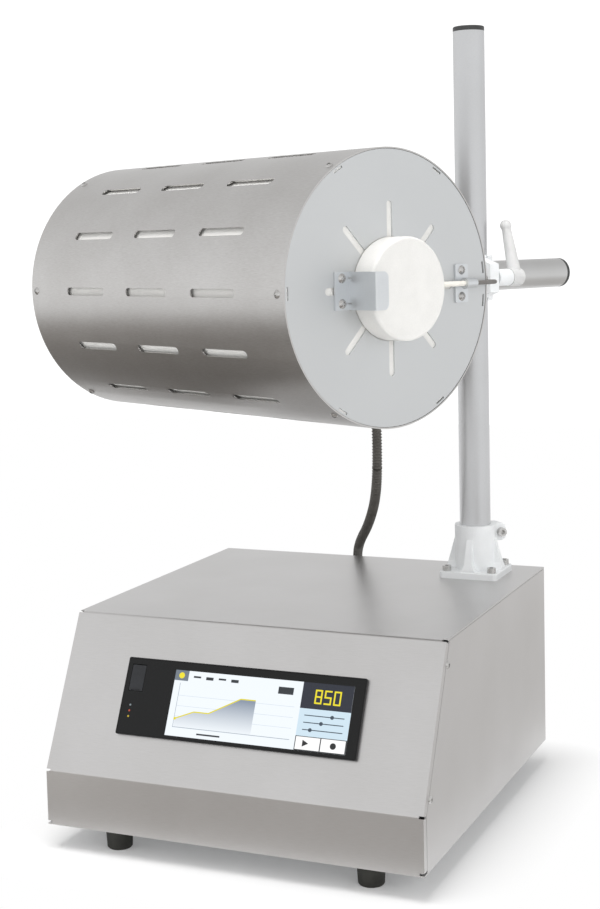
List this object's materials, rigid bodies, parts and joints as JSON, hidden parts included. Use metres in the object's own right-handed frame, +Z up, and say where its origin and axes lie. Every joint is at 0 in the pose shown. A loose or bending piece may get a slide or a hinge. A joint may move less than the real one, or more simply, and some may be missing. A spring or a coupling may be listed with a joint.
{
  "type": "tube furnace",
  "caption": "Bench tube furnace: a perforated cylindrical drum on a tilting boom, clamped to a post on a sloped control cabinet, linked by a flexible conduit.",
  "frame": {"origin": "centre of the control cabinet footprint, on the bench surface under its feet", "axes": "+Z up, +Y to the back of the cabinet, +X to the right when facing the sloped front"},
  "size_m": [0.4323, 0.5657, 0.7305],
  "materials": {
    "cabinet_steel": "satin ground stainless sheet",
    "zinc_steel": "zinc plated sheet",
    "stainless": "brushed stainless sheet",
    "end_plate_steel": "fine satin stainless disc",
    "tube_steel": "ground stainless tube",
    "fastener_steel": "bright zinc",
    "foot_rubber": "matte black",
    "black_cap": "moulded black",
    "cast_aluminium": "tumbled casting",
    "lever_grey": "light grey moulding",
    "bezel_black": "black frame",
    "flap_black": "soft flap",
    "port_metal": "plated socket",
    "device_plastic": "moulded housing",
    "rocker_black": "rocker",
    "heat_sink_alu": "extruded",
    "terminal_grey": "moulded grey",
    "nickel_brass": "nickel plated gland",
    "fibre_insulation": "soft white fibre board",
    "alumina": "fired ceramic",
    "heating_wire": "oxidised wire",
    "lead_sheath": "black sheath",
    "conduit_grey": "corrugated grey"
  },
  "bodies": {
    "base": {"base_cover": "cabinet_steel", "conduit": "conduit_grey", "controller_bezel": "bezel_black", "controller_housing": "device_plastic", "floor_pan": "zinc_steel", "foot_front_left": "foot_rubber", "foot_front_right": "foot_rubber", "foot_rear_left": "foot_rubber", "foot_rear_right": "foot_rubber", "foot_screws": "fastener_steel", "front_glass": "bezel_black", "mains_inlet": "device_plastic", "panel_brackets": "cabinet_steel", "panel_screws": "fastener_steel", "post_foot": "cast_aluminium", "post_foot_screws": "fastener_steel", "power_relay": "device_plastic", "rear_gland": "nickel_brass", "rear_panel": "cabinet_steel", "relay_heat_sink": "heat_sink_alu", "side_panel_left": "cabinet_steel", "side_panel_right": "cabinet_steel", "stiffener_plate": "zinc_steel", "switch_housing": "device_plastic", "terminal_rail": "zinc_steel", "terminal_row": "terminal_grey", "usb_port": "port_metal"},
    "post": {"post_tube": "tube_steel", "post_cap": "black_cap"},
    "clamp": {"cross_clamp": "cast_aluminium", "boom_clamp_screw": "fastener_steel"},
    "lever": {"clamp_lever": "lever_grey", "lever_stud": "fastener_steel"},
    "boom": {"boom_tube": "tube_steel", "boom_cap": "black_cap"},
    "drum": {"outer_shell": "stainless", "shell_screws": "fastener_steel", "end_plate_near": "end_plate_steel", "end_plate_far": "end_plate_steel", "end_boards": "fibre_insulation", "insulation": "fibre_insulation", "heater_sleeve": "alumina", "heater_windings": "heating_wire", "work_tube": "alumina", "stopper_near": "fibre_insulation", "stopper_far": "fibre_insulation", "bracket_near": "stainless", "bracket_far": "stainless", "bracket_screws": "fastener_steel", "probe_rod": "alumina", "probe_holder": "stainless", "probe_lead": "lead_sheath", "saddle_box": "tube_steel", "saddle_screws": "fastener_steel", "boom_flange": "tube_steel", "flange_screws": "fastener_steel", "heater_terminals": "alumina", "drum_gland": "nickel_brass"},
    "flap": {"usb_flap": "flap_black"},
    "rocker": {"switch_rocker": "rocker_black"}
  },
  "joints": [
    {"name": "post_swivel", "type": "hinge", "parent": "base", "child": "post", "pos_m": [0.12, 0.139, 0.2], "axis": [0, 0, 1], "range_deg": [-30, 30], "deforming": ["conduit"]},
    {"name": "height_slide", "type": "slide", "parent": "post", "child": "clamp", "axis": [0, 0, 1], "range_m": [-0.06, 0.06], "deforming": ["conduit"]},
    {"name": "lever_turn", "type": "hinge", "parent": "clamp", "child": "lever", "pos_m": [0.14562, 0.12651, 0.491], "axis": [0.4384, 0.8988, 0], "range_deg": [-25, 100]},
    {"name": "boom_slide", "type": "slide", "parent": "clamp", "child": "boom", "axis": [0.4384, 0.8988, 0], "range_m": [-0.06, 0.02], "deforming": ["conduit"]},
    {"name": "drum_tilt", "type": "hinge", "parent": "boom", "child": "drum", "pos_m": [0.04381, 0.0649, 0.491], "axis": [-0.4384, -0.8988, 0], "range_deg": [0, 90], "deforming": ["conduit"]},
    {"name": "flap_hinge", "type": "hinge", "parent": "base", "child": "flap", "pos_m": [-0.101, -0.14667, 0.16105], "axis": [-1, 0, 0], "range_deg": [0, 110]},
    {"name": "mains_rocker", "type": "hinge", "parent": "base", "child": "rocker", "pos_m": [0.062, 0.188, 0.076], "axis": [1, 0, 0], "range_deg": [0, 18]}
  ]
}
